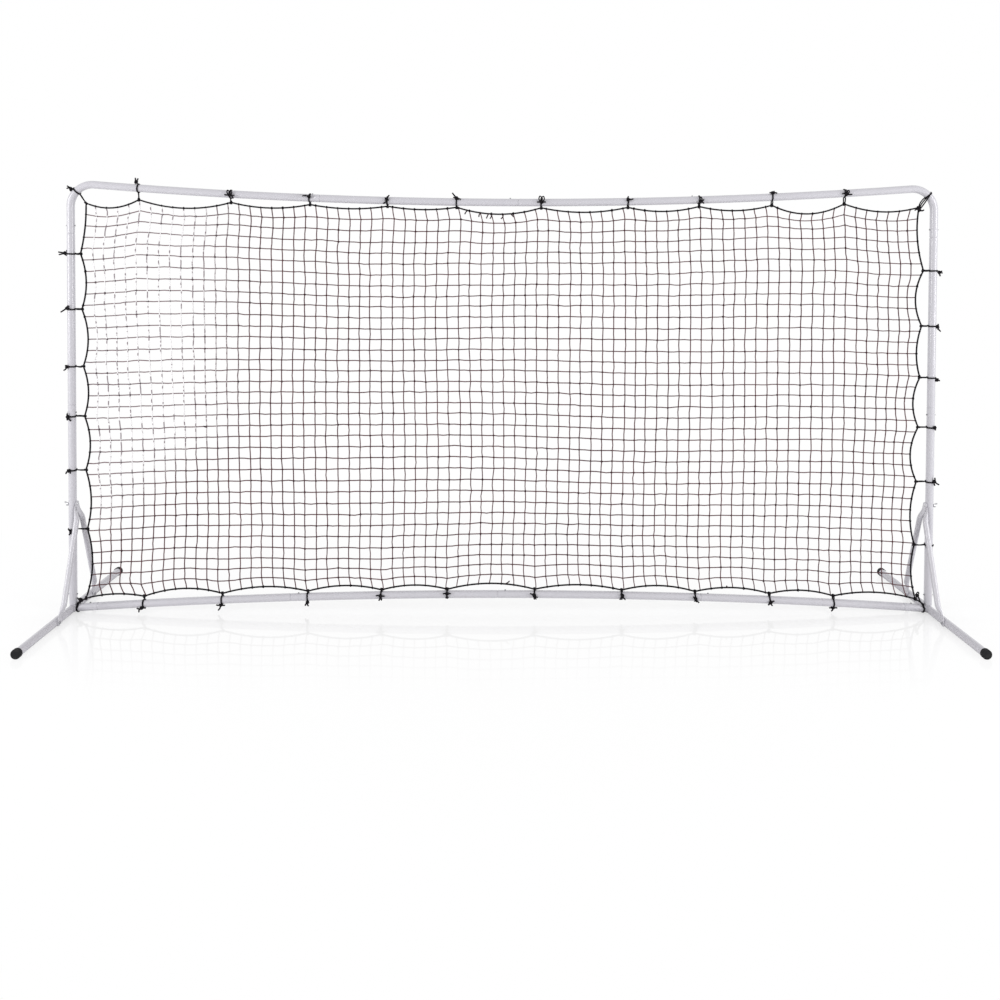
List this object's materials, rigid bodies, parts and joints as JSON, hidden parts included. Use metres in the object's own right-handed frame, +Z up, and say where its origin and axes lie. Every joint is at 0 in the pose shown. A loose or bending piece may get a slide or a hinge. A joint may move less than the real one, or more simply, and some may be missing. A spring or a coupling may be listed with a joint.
{
  "type": "pitch back rebounder",
  "caption": "Freestanding sports rebounder: a square-mesh net laced into a frame of plug-together steel tubes on braced feet.",
  "frame": {"origin": "on the floor under the middle of the frame", "axes": "+X along the frame's width, +Y through its depth with the front at -Y, +Z up"},
  "size_m": [3.6902, 0.9, 1.818],
  "materials": {
    "coated_steel": "satin pale grey powder coat",
    "cap_rubber": "matt black",
    "zinc_steel": "zinc plated",
    "spring_steel": "plain spring steel",
    "button_steel": "plated",
    "net_twine": "black knotted twine",
    "black_cord": "black braided cord"
  },
  "bodies": {
    "frame": {"corner_tube_left": "coated_steel", "corner_tube_right": "coated_steel", "top_tube_left": "coated_steel", "top_tube_right": "coated_steel", "upright_mid_left": "coated_steel", "upright_mid_right": "coated_steel", "upright_lower_left": "coated_steel", "upright_lower_right": "coated_steel", "bottom_tube_1": "coated_steel", "bottom_tube_2": "coated_steel", "bottom_tube_3": "coated_steel", "bottom_tube_4": "coated_steel", "foot_frame_left": "coated_steel", "foot_frame_right": "coated_steel", "end_cap_front_left": "cap_rubber", "end_cap_rear_left": "cap_rubber", "end_cap_front_right": "cap_rubber", "end_cap_rear_right": "cap_rubber", "brace_front_left": "coated_steel", "brace_rear_left": "coated_steel", "brace_front_right": "coated_steel", "brace_rear_right": "coated_steel", "brace_bolts": "zinc_steel", "hex_nuts": "zinc_steel", "washers": "zinc_steel", "wing_nut_left": "zinc_steel", "wing_nut_right": "zinc_steel", "springs_top_rail": "spring_steel", "springs_bottom_rail": "spring_steel", "springs_upright_left": "spring_steel", "springs_upright_right": "spring_steel", "net": "net_twine", "border_cord": "black_cord", "ties_top": "black_cord", "ties_bottom": "black_cord", "ties_left": "black_cord", "ties_right": "black_cord"},
    "button_top_1": {"button_top_1": "button_steel"},
    "button_top_2": {"button_top_2": "button_steel"},
    "button_top_3": {"button_top_3": "button_steel"},
    "button_bottom_1": {"button_bottom_1": "button_steel"},
    "button_bottom_2": {"button_bottom_2": "button_steel"},
    "button_bottom_3": {"button_bottom_3": "button_steel"},
    "button_bottom_4": {"button_bottom_4": "button_steel"},
    "button_bottom_5": {"button_bottom_5": "button_steel"},
    "button_left_leg_outer": {"button_left_leg_outer": "button_steel"},
    "button_left_leg_inner": {"button_left_leg_inner": "button_steel"},
    "button_left_mid_outer": {"button_left_mid_outer": "button_steel"},
    "button_left_mid_inner": {"button_left_mid_inner": "button_steel"},
    "button_left_base_outer": {"button_left_base_outer": "button_steel"},
    "button_left_base_inner": {"button_left_base_inner": "button_steel"},
    "button_right_leg_outer": {"button_right_leg_outer": "button_steel"},
    "button_right_leg_inner": {"button_right_leg_inner": "button_steel"},
    "button_right_mid_outer": {"button_right_mid_outer": "button_steel"},
    "button_right_mid_inner": {"button_right_mid_inner": "button_steel"},
    "button_right_base_outer": {"button_right_base_outer": "button_steel"},
    "button_right_base_inner": {"button_right_base_inner": "button_steel"}
  },
  "joints": [
    {"name": "button_top_1_press", "type": "slide", "parent": "frame", "child": "button_top_1", "axis": [-0.0355, 0, -0.9994], "range_m": [0, 0.0056], "stiffness_N_per_m": 1500, "springref_m": -0.003, "deforming": ["springs_top_rail"]},
    {"name": "button_top_2_press", "type": "slide", "parent": "frame", "child": "button_top_2", "axis": [0.0011, 0, -1], "range_m": [0, 0.0056], "stiffness_N_per_m": 1500, "springref_m": -0.003, "deforming": ["springs_top_rail"]},
    {"name": "button_top_3_press", "type": "slide", "parent": "frame", "child": "button_top_3", "axis": [0.0349, 0, -0.9994], "range_m": [0, 0.0056], "stiffness_N_per_m": 1500, "springref_m": -0.003, "deforming": ["springs_top_rail"]},
    {"name": "button_bottom_1_press", "type": "slide", "parent": "frame", "child": "button_bottom_1", "axis": [0.0631, 0, -0.998], "range_m": [0, 0.0056], "stiffness_N_per_m": 1500, "springref_m": -0.003, "deforming": ["springs_bottom_rail"]},
    {"name": "button_bottom_2_press", "type": "slide", "parent": "frame", "child": "button_bottom_2", "axis": [0.0313, 0, -0.9995], "range_m": [0, 0.0056], "stiffness_N_per_m": 1500, "springref_m": -0.003, "deforming": ["springs_bottom_rail"]},
    {"name": "button_bottom_3_press", "type": "slide", "parent": "frame", "child": "button_bottom_3", "axis": [-0.0004, 0, -1], "range_m": [0, 0.0056], "stiffness_N_per_m": 1500, "springref_m": -0.003, "deforming": ["springs_bottom_rail"]},
    {"name": "button_bottom_4_press", "type": "slide", "parent": "frame", "child": "button_bottom_4", "axis": [-0.0316, 0, -0.9995], "range_m": [0, 0.0056], "stiffness_N_per_m": 1500, "springref_m": -0.003, "deforming": ["springs_bottom_rail"]},
    {"name": "button_bottom_5_press", "type": "slide", "parent": "frame", "child": "button_bottom_5", "axis": [-0.0631, 0, -0.998], "range_m": [0, 0.0056], "stiffness_N_per_m": 1500, "springref_m": -0.003, "deforming": ["springs_bottom_rail"]},
    {"name": "button_left_leg_outer_press", "type": "slide", "parent": "frame", "child": "button_left_leg_outer", "axis": [1, 0, 0], "range_m": [0, 0.0056], "stiffness_N_per_m": 1500, "springref_m": -0.003, "deforming": ["springs_upright_left"]},
    {"name": "button_left_leg_inner_press", "type": "slide", "parent": "frame", "child": "button_left_leg_inner", "axis": [-1, 0, 0], "range_m": [0, 0.0056], "stiffness_N_per_m": 1500, "springref_m": -0.003, "deforming": ["springs_upright_left"]},
    {"name": "button_left_mid_outer_press", "type": "slide", "parent": "frame", "child": "button_left_mid_outer", "axis": [1, 0, 0], "range_m": [0, 0.0056], "stiffness_N_per_m": 1500, "springref_m": -0.003, "deforming": ["springs_upright_left"]},
    {"name": "button_left_mid_inner_press", "type": "slide", "parent": "frame", "child": "button_left_mid_inner", "axis": [-1, 0, 0], "range_m": [0, 0.0056], "stiffness_N_per_m": 1500, "springref_m": -0.003, "deforming": ["springs_upright_left"]},
    {"name": "button_left_base_outer_press", "type": "slide", "parent": "frame", "child": "button_left_base_outer", "axis": [1, 0, 0], "range_m": [0, 0.0056], "stiffness_N_per_m": 1500, "springref_m": -0.003, "deforming": ["springs_upright_left"]},
    {"name": "button_left_base_inner_press", "type": "slide", "parent": "frame", "child": "button_left_base_inner", "axis": [-1, 0, 0], "range_m": [0, 0.0056], "stiffness_N_per_m": 1500, "springref_m": -0.003, "deforming": ["springs_upright_left"]},
    {"name": "button_right_leg_outer_press", "type": "slide", "parent": "frame", "child": "button_right_leg_outer", "axis": [-1, 0, 0], "range_m": [0, 0.0056], "stiffness_N_per_m": 1500, "springref_m": -0.003, "deforming": ["springs_upright_right"]},
    {"name": "button_right_leg_inner_press", "type": "slide", "parent": "frame", "child": "button_right_leg_inner", "axis": [1, 0, 0], "range_m": [0, 0.0056], "stiffness_N_per_m": 1500, "springref_m": -0.003, "deforming": ["springs_upright_right"]},
    {"name": "button_right_mid_outer_press", "type": "slide", "parent": "frame", "child": "button_right_mid_outer", "axis": [-1, 0, 0], "range_m": [0, 0.0056], "stiffness_N_per_m": 1500, "springref_m": -0.003, "deforming": ["springs_upright_right"]},
    {"name": "button_right_mid_inner_press", "type": "slide", "parent": "frame", "child": "button_right_mid_inner", "axis": [1, 0, 0], "range_m": [0, 0.0056], "stiffness_N_per_m": 1500, "springref_m": -0.003, "deforming": ["springs_upright_right"]},
    {"name": "button_right_base_outer_press", "type": "slide", "parent": "frame", "child": "button_right_base_outer", "axis": [-1, 0, 0], "range_m": [0, 0.0056], "stiffness_N_per_m": 1500, "springref_m": -0.003, "deforming": ["springs_upright_right"]},
    {"name": "button_right_base_inner_press", "type": "slide", "parent": "frame", "child": "button_right_base_inner", "axis": [1, 0, 0], "range_m": [0, 0.0056], "stiffness_N_per_m": 1500, "springref_m": -0.003, "deforming": ["springs_upright_right"]}
  ]
}
